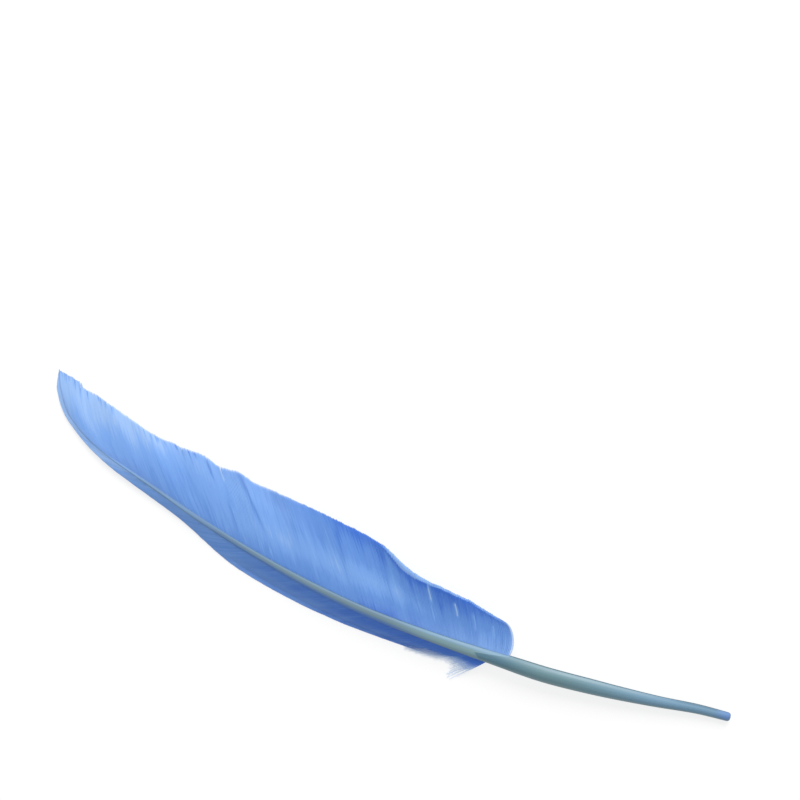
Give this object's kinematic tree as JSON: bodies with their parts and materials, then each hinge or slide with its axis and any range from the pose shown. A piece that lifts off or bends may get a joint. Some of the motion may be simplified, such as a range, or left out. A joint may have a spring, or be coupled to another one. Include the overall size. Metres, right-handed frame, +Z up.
{
  "type": "turkey feather",
  "caption": "Blue-dyed turkey wing quill lying flat, with a wide and a narrow vane, an arched shaft and a tuft of down, for craft and decoration.",
  "frame": {"origin": "on the surface that the feather lies on, under the middle of its box", "axes": "+X along the straight line from the tip to the end of the quill, +Y towards the wide vane, +Z up from the surface, out of the feather's outer face"},
  "size_m": [0.3036, 0.0398, 0.0108],
  "materials": {
    "vane": "satin",
    "shaft": "satin",
    "down": "matte"
  },
  "bodies": {
    "root": {"feather": "vane"}
  },
  "joints": []
}
